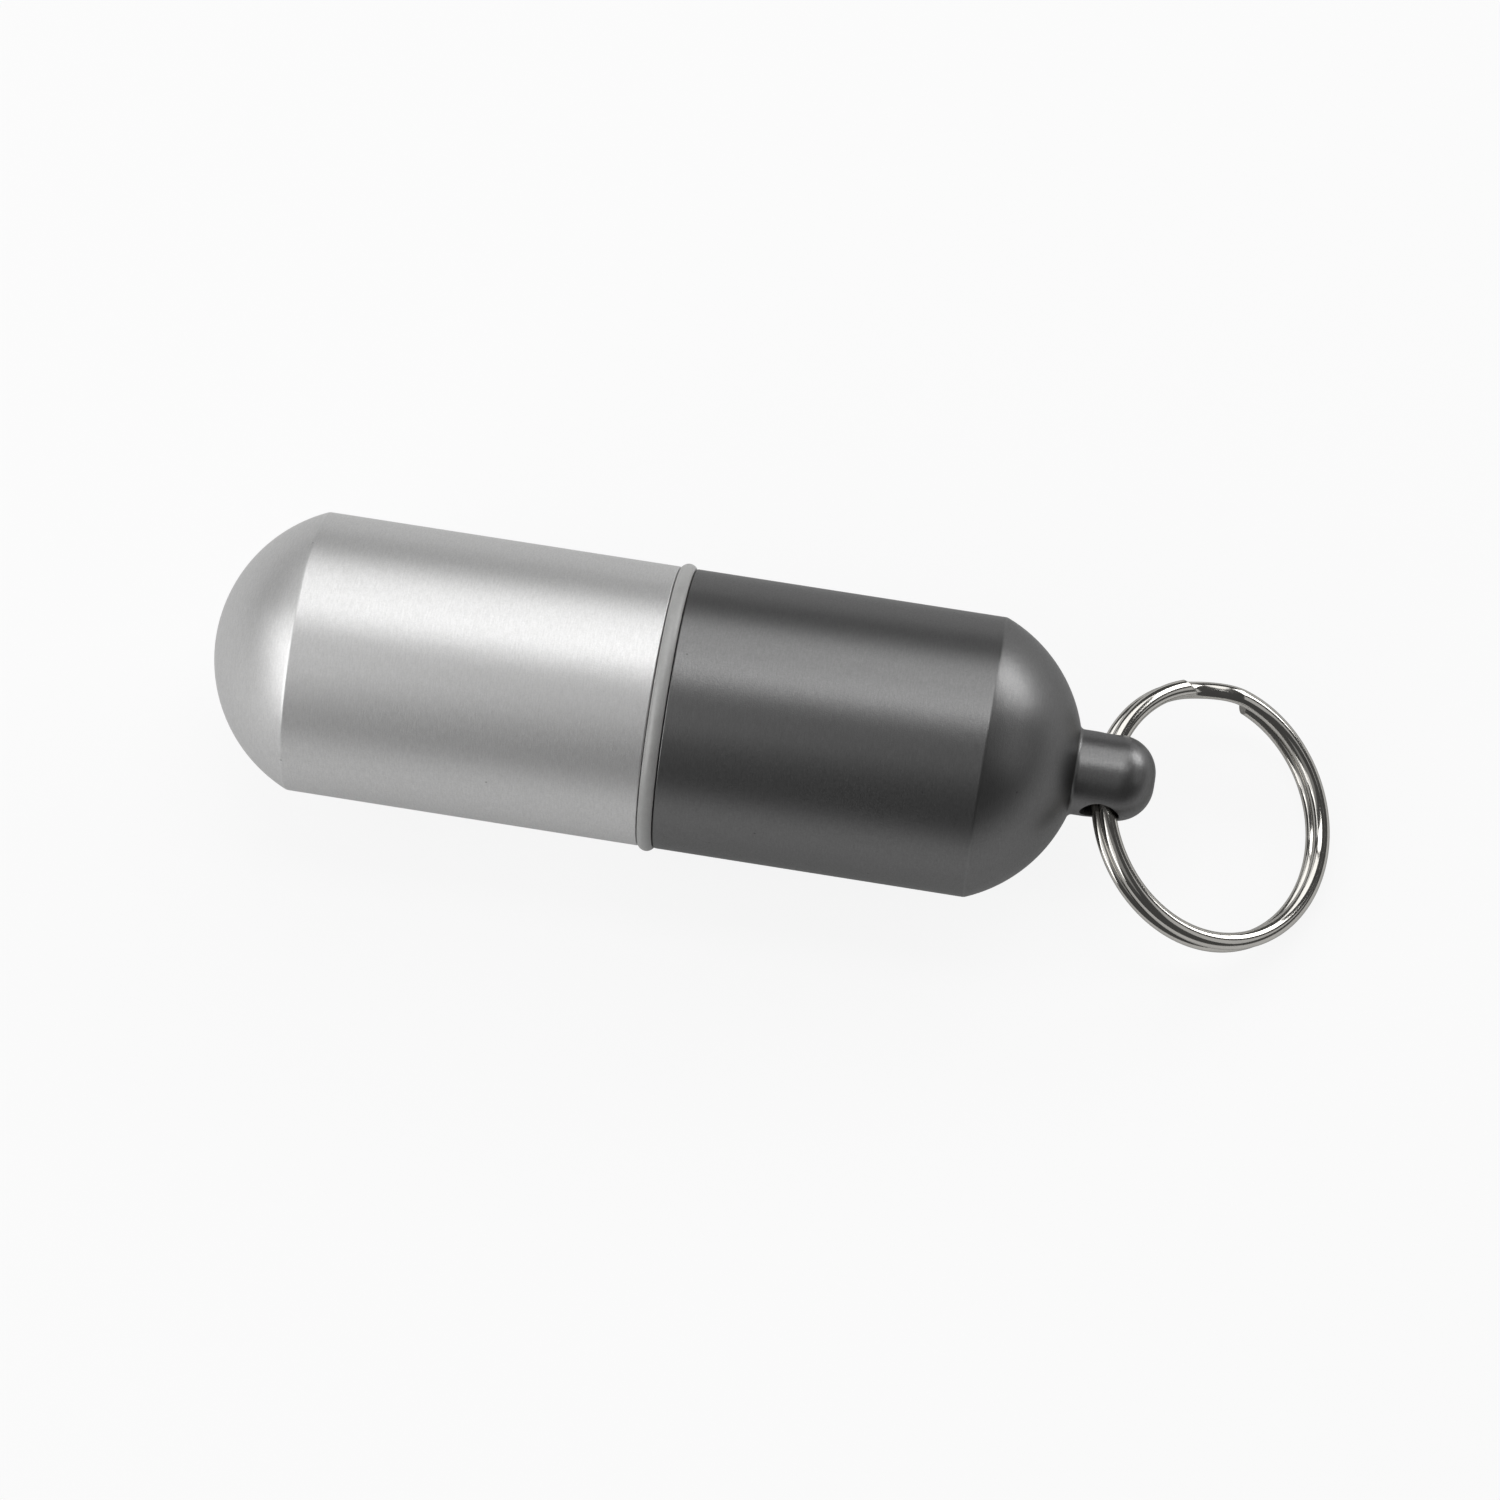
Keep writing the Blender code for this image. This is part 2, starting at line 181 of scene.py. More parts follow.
soften(body, [rim_edge], RIM_ROLL, segments=4)
soften(body, [crease], CREASE_ROLL, segments=3)
turn_outline(body)
wind_thread(body, NECK_CORE, NECK_CREST, NECK_THREAD_FIRST, NECK_THREAD_LAST, NECK_THREAD_FIRST)
bmesh.ops.recalc_face_normals(body, faces=body.faces)


def shade(data, sharp_from=SHARP_ANGLE):
    """Shades a mesh smooth but for its sharp edges."""
    data.shade_smooth()
    data.set_sharp_from_angle(angle=math.radians(sharp_from))


def finish_shell(mesh, name, sharp_from=SHARP_ANGLE):
    """Makes the object of a mesh and shades it."""
    data = bpy.data.meshes.new(name)
    mesh.to_mesh(data)
    mesh.free()
    piece = bpy.data.objects.new(name, data)
    bpy.context.scene.collection.objects.link(piece)
    shade(data, sharp_from)
    return piece


body_shell = finish_shell(body, "body_shell")
body_shell.modifiers.new("even_shading", "WEIGHTED_NORMAL").keep_sharp = True

SILVER = (0.60, 0.599, 0.597)
SILVER_RUBBED = (0.70, 0.70, 0.70)
GRAIN_SIZE = 0.00013
NOISE_RANGE = (0.3, 0.7)  # where nearly all of a cloudy noise lies
SPECKLE_RATE = 0.75  # how fine the speckle is, beside the pits
MARK_STRETCH = 0.16  # a turning mark's width as a share of its length
MARK_DEPTH = 0.6  # how deep the turning marks are, beside the pits
SPECK_RATE = 0.065  # how close together the specks are, beside the pits
SPECK_FADE = (0.07, 0.035)  # where a speck starts and where it is full, as shares of their distance
SPECKS_MISSING = 0.8  # the share of places with no speck
PATCH_FADE = (0.35, 0.65)
LEAST_REACH = 0.15  # how far rubbing reaches where it is least, as a share of its width
METAL_SPECKLE = (0.96, 1.04)
METAL_MARKS = (0.94, 1.06)
METAL_SPECKS = 0.6
METAL_GLOSS_RANGE = 0.05
METAL_RELIEF = 0.5
RELIEF_DEPTH = 0.00002
METAL_WEAR = 0.3
METAL_WEAR_WIDTH = 0.0003
METAL_WEAR_PATCHES = 0.0011
WEAR_POLISH = 0.16


def node(tree, kind, inputs=(), **settings):
    """Adds a shader node with its settings, and with values or links on its inputs."""
    made = tree.nodes.new("ShaderNode" + kind)
    for name, value in settings.items():
        setattr(made, name, value)
    for name, value in dict(inputs).items():
        if isinstance(value, bpy.types.NodeSocket):
            tree.links.new(value, made.inputs[name])
        else:
            made.inputs[name].default_value = value
    return made


def reckon(tree, operation, first, second=0.0):
    """Works out one number from two numbers or links and returns it."""
    return node(tree, "Math", {0: first, 1: second}, operation=operation).outputs[0]


def spread(tree, value, low, high, to_low, to_high):
    """Takes a value from one range to another, and stops at its ends."""
    ends = {"Value": value, "From Min": low, "From Max": high, "To Min": to_low, "To Max": to_high}
    return node(tree, "MapRange", ends).outputs["Result"]


def noise(tree, place_on, rate, detail, roughness):
    """A cloudy noise over the surface."""
    inputs = {"Vector": place_on, "Scale": rate, "Detail": detail, "Roughness": roughness}
    return node(tree, "TexNoise", inputs).outputs["Fac"]


def vary(tree, cloudy, to_low, to_high):
    """Takes a cloudy noise to a range of its own."""
    return spread(tree, cloudy, *NOISE_RANGE, to_low, to_high)


def tinted(tree, colour, strength):
    """A colour made lighter or darker over the surface."""
    return node(tree, "VectorMath", {0: colour, "Scale": strength}, operation="SCALE").outputs["Vector"]


def effect(name, inputs, outputs):
    """Starts a node group and returns it with its input node's and its output node's sockets."""
    group = bpy.data.node_groups.new(name, "ShaderNodeTree")
    for socket, kind in inputs:
        group.interface.new_socket(socket, in_out="INPUT", socket_type="NodeSocket" + kind)
    for socket in outputs:
        group.interface.new_socket(socket, in_out="OUTPUT", socket_type="NodeSocketFloat")
    return group, group.nodes.new("NodeGroupInput").outputs, group.nodes.new("NodeGroupOutput").inputs


# Fine pits from the glass beads and the tone that they give, what the beads have left of the turning
# marks, and a few dark specks. The place counts from the capsule's axis, so that the marks run round it.
blasting, given, put_out = effect(
    "blasted_grain",
    (("Place", "Vector"), ("Grain Size", "Float")),
    ("Height", "Speckle", "Turning Marks", "Specks"),
)
rate = reckon(blasting, "DIVIDE", 1.0, given["Grain Size"])
pits = noise(blasting, given["Place"], rate, detail=3.0, roughness=0.65)
slower = reckon(blasting, "MULTIPLY", rate, SPECKLE_RATE)
speckle = noise(blasting, given["Place"], slower, detail=3.0, roughness=0.6)
blasting.links.new(speckle, put_out["Speckle"])
split = node(blasting, "SeparateXYZ", {0: given["Place"]}).outputs
spoke = node(blasting, "CombineXYZ", {"Y": split["Y"], "Z": split["Z"]}).outputs["Vector"]
radius = node(blasting, "VectorMath", {0: spoke}, operation="LENGTH").outputs["Value"]
turned = reckon(blasting, "MULTIPLY", reckon(blasting, "ARCTAN2", split["Y"], split["Z"]), radius)
turned = reckon(blasting, "MULTIPLY", turned, MARK_STRETCH)
turned_round = node(blasting, "CombineXYZ", {"X": split["X"], "Y": radius, "Z": turned}).outputs["Vector"]
marks = noise(blasting, turned_round, rate, detail=3.0, roughness=0.6)
blasting.links.new(marks, put_out["Turning Marks"])
height = reckon(blasting, "ADD", pits, reckon(blasting, "MULTIPLY", marks, MARK_DEPTH))
blasting.links.new(height, put_out["Height"])
sparse = reckon(blasting, "MULTIPLY", rate, SPECK_RATE)
spots = node(blasting, "TexVoronoi", {"Vector": given["Place"], "Scale": sparse}).outputs
spot_shade = node(blasting, "SeparateColor", {0: spots["Color"]}).outputs[0]
near_spot = spread(blasting, spots["Distance"], *SPECK_FADE, 0.0, 1.0)
some_spots = reckon(blasting, "GREATER_THAN", spot_shade, SPECKS_MISSING)
blasting.links.new(reckon(blasting, "MULTIPLY", near_spot, some_spots), put_out["Specks"])

# Rubbing along an edge: most at the edge itself, and patchy.
edge_rubbing, given, put_out = effect(
    "edge_wear",
    (("Place", "Vector"), ("From Edge", "Float"), ("Width", "Float"), ("Patch Size", "Float")),
    ("Wear",),
)
away = reckon(edge_rubbing, "ABSOLUTE", given["From Edge"])
away = reckon(edge_rubbing, "DIVIDE", away, given["Width"])
patch_rate = reckon(edge_rubbing, "DIVIDE", 1.0, given["Patch Size"])
patches = noise(edge_rubbing, given["Place"], patch_rate, detail=5.0, roughness=0.7)
reach = spread(edge_rubbing, patches, *PATCH_FADE, LEAST_REACH, 1.0)
ends = {"Value": away, "From Min": reach, "From Max": 0.0, "To Min": 0.0, "To Max": 1.0}
rubbed = node(edge_rubbing, "MapRange", ends, interpolation_type="SMOOTHSTEP").outputs["Result"]
edge_rubbing.links.new(rubbed, put_out["Wear"])


def start_material(name):
    """Starts a material and returns it with its node tree and its shader."""
    material = bpy.data.materials.new(name)
    material.use_nodes = True
    return material, material.node_tree, material.node_tree.nodes["Principled BSDF"]


def from_middle(tree):
    """The place on a piece, counted from the middle of the seal."""
    where = node(tree, "TexCoord").outputs["Object"]
    return node(tree, "VectorMath", {0: where, 1: MIDDLE}, operation="SUBTRACT").outputs[0]


def rubbed_edges(tree, where, edges, width, patch_size):
    """How much a piece is rubbed along its edges, each at its own place along X."""
    along = node(tree, "SeparateXYZ", {0: where}).outputs["X"]
    wear = 0.0
    for edge in edges:
        from_edge = reckon(tree, "SUBTRACT", along, edge)
        inputs = {"Place": where, "From Edge": from_edge, "Width": width, "Patch Size": patch_size}
        rubbing = node(tree, "Group", inputs, node_tree=edge_rubbing).outputs["Wear"]
        wear = reckon(tree, "MAXIMUM", rubbing, wear)
    return wear


def relief(tree, shader, height, strength, depth):
    """Gives a material a fine relief."""
    bump = node(tree, "Bump", {"Height": height, "Strength": strength, "Distance": depth})
    tree.links.new(bump.outputs["Normal"], shader.inputs["Normal"])


def satin_metal(name, colour, rubbed_colour, roughness, sheen, edges):
    """Bead-blasted and anodised aluminium, rubbed a little along the edges at the given heights."""
    material, tree, shader = start_material(name)
    shader.inputs["Metallic"].default_value = 1
    # Seen edge-on, the anodic film is duller than bare metal.
    shader.inputs["Specular Tint"].default_value = (sheen, sheen, sheen, 1)
    where = from_middle(tree)
    blasted = node(tree, "Group", {"Place": where, "Grain Size": GRAIN_SIZE}, node_tree=blasting).outputs
    wear = rubbed_edges(tree, where, edges, METAL_WEAR_WIDTH, METAL_WEAR_PATCHES)
    wear = reckon(tree, "MULTIPLY", wear, METAL_WEAR)
    tone = vary(tree, blasted["Speckle"], *METAL_SPECKLE)
    tone = reckon(tree, "MULTIPLY", tone, vary(tree, blasted["Turning Marks"], *METAL_MARKS))
    tone = reckon(tree, "MULTIPLY", tone, spread(tree, blasted["Specks"], 0.0, 1.0, 1.0, METAL_SPECKS))
    layers = {"Factor": wear, "A": tinted(tree, colour, tone), "B": (*rubbed_colour, 1)}
    surface = node(tree, "Mix", layers, data_type="RGBA")
    tree.links.new(surface.outputs["Result"], shader.inputs["Base Color"])
    gloss = vary(tree, blasted["Speckle"], roughness + METAL_GLOSS_RANGE, roughness - METAL_GLOSS_RANGE)
    gloss = reckon(tree, "SUBTRACT", gloss, reckon(tree, "MULTIPLY", wear, WEAR_POLISH))
    tree.links.new(gloss, shader.inputs["Roughness"])
    relief(tree, shader, blasted["Height"], METAL_RELIEF, RELIEF_DEPTH)
    return material


silver = satin_metal(
    "silver_anodised", SILVER, SILVER_RUBBED, roughness=0.46, sheen=0.85, edges=(BODY_CREASE, BODY_RIM)
)
body_shell.data.materials.append(silver)
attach(body_shell, "body")
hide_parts("capsule_body")


# SEAL
# A round rubber cord ring of grey silicone, stretched over the foot of the neck and squeezed a
# little between the two rims, so that its crown stands proud of both shells.

SEAL_CROWN = 0.01287
SEAL_INSIDE = 0.01085
SEAL_ROUND = 0.00076
SEAL_HALF_WIDTH = 0.00065
SEAL_CORNER_ROLL = 0.00012
SEAL_SHARP_ANGLE = 80
SILICONE = (0.31, 0.31, 0.304)
SILICONE_REFLECTION = 0.9
SILICONE_GRAIN = 0.00022
SILICONE_CLOUD_RATE = 450.0
SILICONE_CLOUDS = (0.93, 1.07)
SILICONE_SPECKLE = (0.96, 1.04)
SILICONE_SPECKS = 1.35
SILICONE_ROUGHNESS = (0.36, 0.48)
SILICONE_RELIEF = 0.35

seal = bmesh.new()
side = math.degrees(math.asin(SEAL_HALF_WIDTH / SEAL_ROUND))
outer_centre = SEAL_CROWN - SEAL_ROUND
inner_centre = SEAL_INSIDE + SEAL_ROUND
squeezed = SEAL_ROUND * math.cos(math.radians(side))
outer_foot = seal.verts.new(place(outer_centre + squeezed, -SEAL_HALF_WIDTH))
outer_top = run_round(seal, outer_foot, outer_centre, 0, 2 * side, steps=20)
inner_top = run_to(seal, outer_top, inner_centre - squeezed, SEAL_HALF_WIDTH)
inner_foot = run_round(seal, inner_top, inner_centre, 0, 2 * side, steps=20)
seal.edges.new((inner_foot, outer_foot))
soften(seal, [outer_foot, outer_top, inner_top, inner_foot], SEAL_CORNER_ROLL, segments=3)
turn_outline(seal)
bmesh.ops.recalc_face_normals(seal, faces=seal.faces)
seal_band = finish_shell(seal, "seal_band", SEAL_SHARP_ANGLE)

# The mould's surface is a coarser grain of the blasted kind, and the rubber itself is a little cloudy.
rubber, tree, shader = start_material("grey_silicone_rubber")
shader.inputs["Specular IOR Level"].default_value = SILICONE_REFLECTION
where = from_middle(tree)
moulded = node(tree, "Group", {"Place": where, "Grain Size": SILICONE_GRAIN}, node_tree=blasting).outputs
cloudy = noise(tree, where, SILICONE_CLOUD_RATE, detail=3.0, roughness=0.6)
tone = vary(tree, cloudy, *SILICONE_CLOUDS)
tone = reckon(tree, "MULTIPLY", tone, vary(tree, moulded["Speckle"], *SILICONE_SPECKLE))
tone = reckon(tree, "MULTIPLY", tone, spread(tree, moulded["Specks"], 0.0, 1.0, 1.0, SILICONE_SPECKS))
tree.links.new(tinted(tree, SILICONE, tone), shader.inputs["Base Color"])
tree.links.new(vary(tree, cloudy, *SILICONE_ROUGHNESS), shader.inputs["Roughness"])
relief(tree, shader, moulded["Height"], SILICONE_RELIEF, RELIEF_DEPTH)
seal_band.data.materials.append(rubber)
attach(seal_band, "seal")
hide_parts("seal_ring")


# LID
# The short shell, turned from the same bar with the nub in one piece with it, threaded inside,
# and cross-drilled for the key ring. Blasted like the body, then anodised dark gunmetal grey.

LID_RIM = 0.0007
LID_MOUTH_ROLL = 0.00025
LID_CREASE = 0.02845
LID_APEX = 0.03695
LID_BALL = (SHELL_RADIUS**2 + (LID_APEX - LID_CREASE) ** 2) / (2 * (LID_APEX - LID_CREASE))
LID_ROOT = 0.0113
LID_CREST = 0.01065
LID_THREAD_FIRST = 0.00175
LID_THREAD_LAST = 0.00735
LID_BORE_END = 0.00775
LID_CAVITY = 0.0102
LID_SHOULDER_ROLL = 0.0002
LID_ROOF = 0.03295
LID_CORNER = 0.0030
NUB_RADIUS = 0.0038
NUB_ROWS = 24
NUB_END = 0.04350
NUB_TIP_ROUND = 0.0033
NUB_FILLET = 0.00045
HOLE_RADIUS = 0.001735
HOLE_HEIGHT = 0.039085
HOLE_SOFTENING = 0.00018
DRILL_SIDES = 96
DRILL_WIDER = 0.0006
DRILL_FURTHER = 0.00026
GUNMETAL = (0.155, 0.155, 0.155)
GUNMETAL_RUBBED = (0.18, 0.18, 0.18)

# The outline is drawn from the nub's tip to the thread's foot, and from the thread's end to the roof.
lid = bmesh.new()
point = lid.verts.new(place(0, NUB_END))
point = run_to(lid, point, NUB_RADIUS - NUB_TIP_ROUND, NUB_END)
nub_side_start = NUB_END - NUB_TIP_ROUND
point = run_round(lid, point, NUB_RADIUS - NUB_TIP_ROUND, nub_side_start, -90, steps=24)
fillet_radius = NUB_RADIUS + NUB_FILLET
fillet_rise = math.sqrt((LID_BALL + NUB_FILLET) ** 2 - fillet_radius**2)
fillet_centre = LID_APEX - LID_BALL + fillet_rise
fillet_angle = math.degrees(math.atan2(fillet_rise, fillet_radius))
for row in range(NUB_ROWS):
    down = nub_side_start + (fillet_centre - nub_side_start) * (row + 1) / NUB_ROWS
    point = run_to(lid, point, NUB_RADIUS, down)
point = run_round(lid, point, fillet_radius, fillet_centre, fillet_angle, steps=8)
dome_angle = fillet_angle - math.degrees(math.acos(SHELL_RADIUS / LID_BALL))
lid_crease = run_round(lid, point, 0, LID_APEX - LID_BALL, -dome_angle, steps=40)
lid_edge = run_to(lid, lid_crease, SHELL_RADIUS, LID_RIM)
lid_mouth = run_to(lid, lid_edge, LID_ROOT, LID_RIM)
run_to(lid, lid_mouth, LID_ROOT, LID_THREAD_FIRST)
soften(lid, [lid_crease], CREASE_ROLL, segments=3)
soften(lid, [lid_edge], RIM_ROLL, segments=4)
soften(lid, [lid_mouth], LID_MOUTH_ROLL, segments=4)
point = lid.verts.new(place(LID_ROOT, LID_THREAD_LAST))
point = run_to(lid, point, LID_ROOT, LID_BORE_END)
shoulder = run_to(lid, point, LID_CAVITY, LID_BORE_END)
point = run_to(lid, shoulder, LID_CAVITY, LID_ROOF - LID_CORNER)
point = run_round(lid, point, LID_CAVITY - LID_CORNER, LID_ROOF - LID_CORNER, 90, steps=12)
run_to(lid, point, 0, LID_ROOF)
soften(lid, [shoulder], LID_SHOULDER_ROLL, segments=3)
turn_outline(lid)
# Half a pitch on, the lid's ridges lie in the neck's grooves.
lid_phase = NECK_THREAD_FIRST + THREAD_PITCH / 2
wind_thread(lid, LID_ROOT, LID_CREST, LID_THREAD_FIRST, LID_THREAD_LAST, lid_phase)
bmesh.ops.recalc_face_normals(lid, faces=lid.faces)
lid_shell = finish_shell(lid, "lid_shell")


def nub_side(height, sideways):
    """How far out the nub's surface is, at a height along the nub and a distance above its axis."""
    past = max(0, height - nub_side_start)
    radius = NUB_RADIUS - NUB_TIP_ROUND + math.sqrt(NUB_TIP_ROUND**2 - past**2)
    return math.sqrt(radius**2 - sideways**2)


# The drill reaches past the nub on both sides, and flares where it breaks the surface. Each row of its
# side is so many degrees round the softened edge, and so much wider and further out. The last is its end.
drill = bmesh.new()
crosswise = Matrix.Rotation(math.pi / 2, 4, "X")
bmesh.ops.create_circle(drill, segments=DRILL_SIDES, radius=HOLE_RADIUS, matrix=crosswise)
bmesh.ops.translate(drill, verts=drill.verts, vec=place(0, HOLE_HEIGHT))
rim = drill.edges[:]
for swing, wider, further in (
    (0, 0, 0),
    (25, 0, 0),
    (50, 0, 0),
    (70, 0, 0),
    (70, DRILL_WIDER, DRILL_FURTHER),
    (70, DRILL_WIDER, None),
):
    made = bmesh.ops.extrude_edge_only(drill, edges=rim)["geom"]
    rim_points = [item for item in made if isinstance(item, bmesh.types.BMVert)]
    edges = [item for item in made if isinstance(item, bmesh.types.BMEdge)]
    rim = [edge for edge in edges if set(edge.verts) <= set(rim_points)]
    swing = math.radians(swing)
    radius = HOLE_RADIUS + HOLE_SOFTENING * (1 - math.cos(swing)) + wider
    for vert in rim_points:
        spoke = Vector((vert.co.x - MIDDLE.x - HOLE_HEIGHT, 0, vert.co.z - MIDDLE.z)).normalized()
        vert.co = place(0, HOLE_HEIGHT) + spoke * radius
        if further is None:
            vert.co.y = 2 * NUB_RADIUS
        else:
            surface = nub_side(HOLE_HEIGHT + spoke.x * radius, spoke.z * radius)
            vert.co.y = surface - HOLE_SOFTENING * (1 - math.sin(swing)) + further
bmesh.ops.edgeloop_fill(drill, edges=rim)
bmesh.ops.mirror(drill, geom=[*drill.verts, *drill.edges, *drill.faces], axis="Y", merge_dist=1e-7)
bmesh.ops.recalc_face_normals(drill, faces=drill.faces)
drill_tool = finish_shell(drill, "nub_drill")
cut = lid_shell.modifiers.new("drilled", "BOOLEAN")
cut.operation = "DIFFERENCE"
cut.solver = "EXACT"
cut.object = drill_tool
bpy.context.view_layer.update()
drilled = bpy.data.meshes.new_from_object(lid_shell.evaluated_get(bpy.context.evaluated_depsgraph_get()))
lid_shell.modifiers.clear()
lid_shell.data = drilled
bpy.data.objects.remove(drill_tool, do_unlink=True)
shade(drilled)
lid_shell.modifiers.new("even_shading", "WEIGHTED_NORMAL").keep_sharp = True
gunmetal = satin_metal(
    "gunmetal_anodised", GUNMETAL, GUNMETAL_RUBBED, roughness=0.38, sheen=0.7, edges=(LID_RIM, LID_CREASE)
)
drilled.materials.clear()
drilled.materials.append(gunmetal)
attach(lid_shell, "lid")
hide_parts("lid")


# SPLIT KEY RING
# Spring steel wire, rolled a little flatter than round, wound twice round with the two coils
# pressed together, cut at both ends and nickel plated bright. It hangs through the nub's hole.

RING_OUTER = 0.01233
WIRE_RADIAL = 0.00155
WIRE_AXIAL = 0.00122
WIRE_SIDES = 40
COIL_PITCH = 0.00125
RING_TILT = math.radians(30.2)
RING_SLACK = 0.0003  # how far the ring hangs out past the middle of the hole
FIRST_END = 80  # where the lower coil starts, in degrees round the ring
ENDS_APART = 33  # how many degrees short of two full turns the wire is
CLIMB_MARGIN = 4  # how many degrees the climb to the upper coil stays clear of either end
LOWER_CUT_SLANT = 0.35  # how far a cut face runs along the wire, for each length outwards
UPPER_CUT_SLANT = 0.8
CUT_LEAN = 0.3  # the same for each length upwards, at the upper coil's end
SLANT_LENGTH = 0.003
NICKEL = (0.52, 0.507, 0.478)
NICKEL_SHEEN = 0.6
SCRATCH_STRETCH = 0.04  # a scratch's width as a share of its length
SCRATCH_RATE = 6000.0
SCRATCH_FADE = (0.45, 0.75)
HAZE_RATE = 700.0
NICKEL_TONES = (0.95, 1.03)
NICKEL_ROUGHNESS = (0.08, 0.12)
SCRATCH_ROUGHNESS = 0.05
NICKEL_RELIEF = 0.15
SCRATCH_DEPTH = 0.000003
END_WEAR_WIDTH = 0.0004
END_WEAR_PATCHES = 0.0004
END_DARKENING = 0.4
END_DULLING = 0.35

ring_radius = RING_OUTER - WIRE_RADIAL / 2
sagitta = ring_radius - math.sqrt(ring_radius**2 - NUB_RADIUS**2)
ring_offset = ring_radius - sagitta / 2 + RING_SLACK
wound_degrees = 720 - ENDS_APART
climb_start = 360 - ENDS_APART + CLIMB_MARGIN
climb_length = ENDS_APART - 2 * CLIMB_MARGIN

# Each point of the wire keeps its place on it: how far along, outwards and up from its middle.
ring = bmesh.new()
bmesh.ops.create_circle(ring, segments=WIRE_SIDES, radius=0.5, cap_ends=True)
bmesh.ops.scale(ring, verts=ring.verts, vec=(WIRE_RADIAL, WIRE_AXIAL, 1))
wire_place = ring.verts.layers.float_vector.new("wire_place")
for vert in ring.verts:
    vert[wire_place] = (0, vert.co.x, vert.co.y)
stand_up = Matrix.Translation((ring_radius, 0, -COIL_PITCH / 2)) @ Matrix.Rotation(math.pi / 2, 4, "X")
first_end = Matrix.Rotation(math.radians(FIRST_END), 4, "Z")
bmesh.ops.transform(ring, verts=ring.verts, matrix=first_end @ stand_up)


def climbed(degrees):
    """How far up the wire has climbed from the lower coil, so many degrees from its first end."""
    share = min(max((degrees - climb_start) / climb_length, 0), 1)
    return COIL_PITCH * share * share * (3 - 2 * share)


end_geometry = [*ring.verts, *ring.edges, *ring.faces]
for degree in range(wound_degrees):
    made = bmesh.ops.spin(
        ring,
        geom=end_geometry,
        cent=(0, 0, 0),
        axis=(0, 0, -1),
        angle=math.radians(1),
        dvec=(0, 0, climbed(degree + 1) - climbed(degree)),
        steps=1,
    )
    end_geometry = made["geom_last"]
    for item in end_geometry:
        if isinstance(item, bmesh.types.BMVert):
            item[wire_place].x = math.radians(degree + 1) * ring_radius

# Near its ends the wire is sheared round the ring, so that each cut face slants.
wire_length = math.radians(wound_degrees) * ring_radius
for vert in ring.verts:
    along, outwards, upwards = vert[wire_place]
    near_start = max(0, 1 - along / SLANT_LENGTH)
    near_finish = max(0, 1 - (wire_length - along) / SLANT_LENGTH)
    slant = outwards * (LOWER_CUT_SLANT * near_start + UPPER_CUT_SLANT * near_finish)
    slant += upwards * CUT_LEAN * near_finish
    vert.co = Matrix.Rotation(slant / ring_radius, 3, "Z") @ vert.co
bmesh.ops.recalc_face_normals(ring, faces=ring.faces)
tilt = Matrix.Rotation(RING_TILT, 4, "Y")
hang = Matrix.Translation(place(0, HOLE_HEIGHT)) @ tilt @ Matrix.Translation((ring_offset, 0, 0))
bmesh.ops.transform(ring, verts=ring.verts, matrix=hang)
split_ring = finish_shell(ring, "split_ring")

# The plating has a faint haze and fine scratches along the wire, and is worn dull at the cut ends.
plating, tree, shader = start_material("bright_nickel_plating")
shader.inputs["Metallic"].default_value = 1
shader.inputs["Specular Tint"].default_value = (NICKEL_SHEEN, NICKEL_SHEEN, NICKEL_SHEEN, 1)
where = node(tree, "Attribute", attribute_name="wire_place").outputs["Vector"]
lengthwise = node(tree, "Mapping", {"Vector": where, "Scale": (SCRATCH_STRETCH, 1, 1)}).outputs["Vector"]
scratches = noise(tree, lengthwise, SCRATCH_RATE, detail=4.0, roughness=0.7)
haze = noise(tree, where, HAZE_RATE, detail=4.0, roughness=0.6)
wear = rubbed_edges(tree, where, (0, wire_length), END_WEAR_WIDTH, END_WEAR_PATCHES)
tone = vary(tree, scratches, *NICKEL_TONES)
tone = reckon(tree, "MULTIPLY", vary(tree, haze, *NICKEL_TONES), tone)
tone = reckon(tree, "SUBTRACT", tone, reckon(tree, "MULTIPLY", wear, END_DARKENING))
tree.links.new(tinted(tree, NICKEL, tone), shader.inputs["Base Color"])
gloss = spread(tree, scratches, *SCRATCH_FADE, 0.0, SCRATCH_ROUGHNESS)
gloss = reckon(tree, "ADD", vary(tree, haze, *NICKEL_ROUGHNESS), gloss)
gloss = reckon(tree, "ADD", gloss, reckon(tree, "MULTIPLY", wear, END_DULLING))
tree.links.new(gloss, shader.inputs["Roughness"])
relief(tree, shader, scratches, NICKEL_RELIEF, SCRATCH_DEPTH)
split_ring.data.materials.append(plating)
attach(split_ring, "ring")
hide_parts("key_ring")


# FLOOR, LIGHT AND CAMERA
# A plain white table that keeps a soft shadow, nine soft boxes over, behind and beside it, and the
# camera at the photograph's place.

TABLE_HALF_SIDE = 3
TABLE_WHITE = 0.7
TABLE_ROUGHNESS = 0.9
TABLE_PLAIN_WHITE = 0.88  # the share of plain white that the camera sees in the table
TABLE_IN_METAL = 0.25  # the same share for what the metal mirrors
AIM = Vector((0, 0, 0.0125))
BOX_DISTANCE = 0.6
ROOM_LIGHT = 0.09
ELEVATION = math.radians(70.3)
AZIMUTH = math.radians(9.49)
FOCAL_PIXELS = 5357
FRAME_PIXELS = 1500
DEPTH = 0.4745
MIDDLE_AT = (668.0, 707.4)  # where the photograph shows the middle of the seal
SENSOR_WIDTH = 36
NEAREST = 0.01

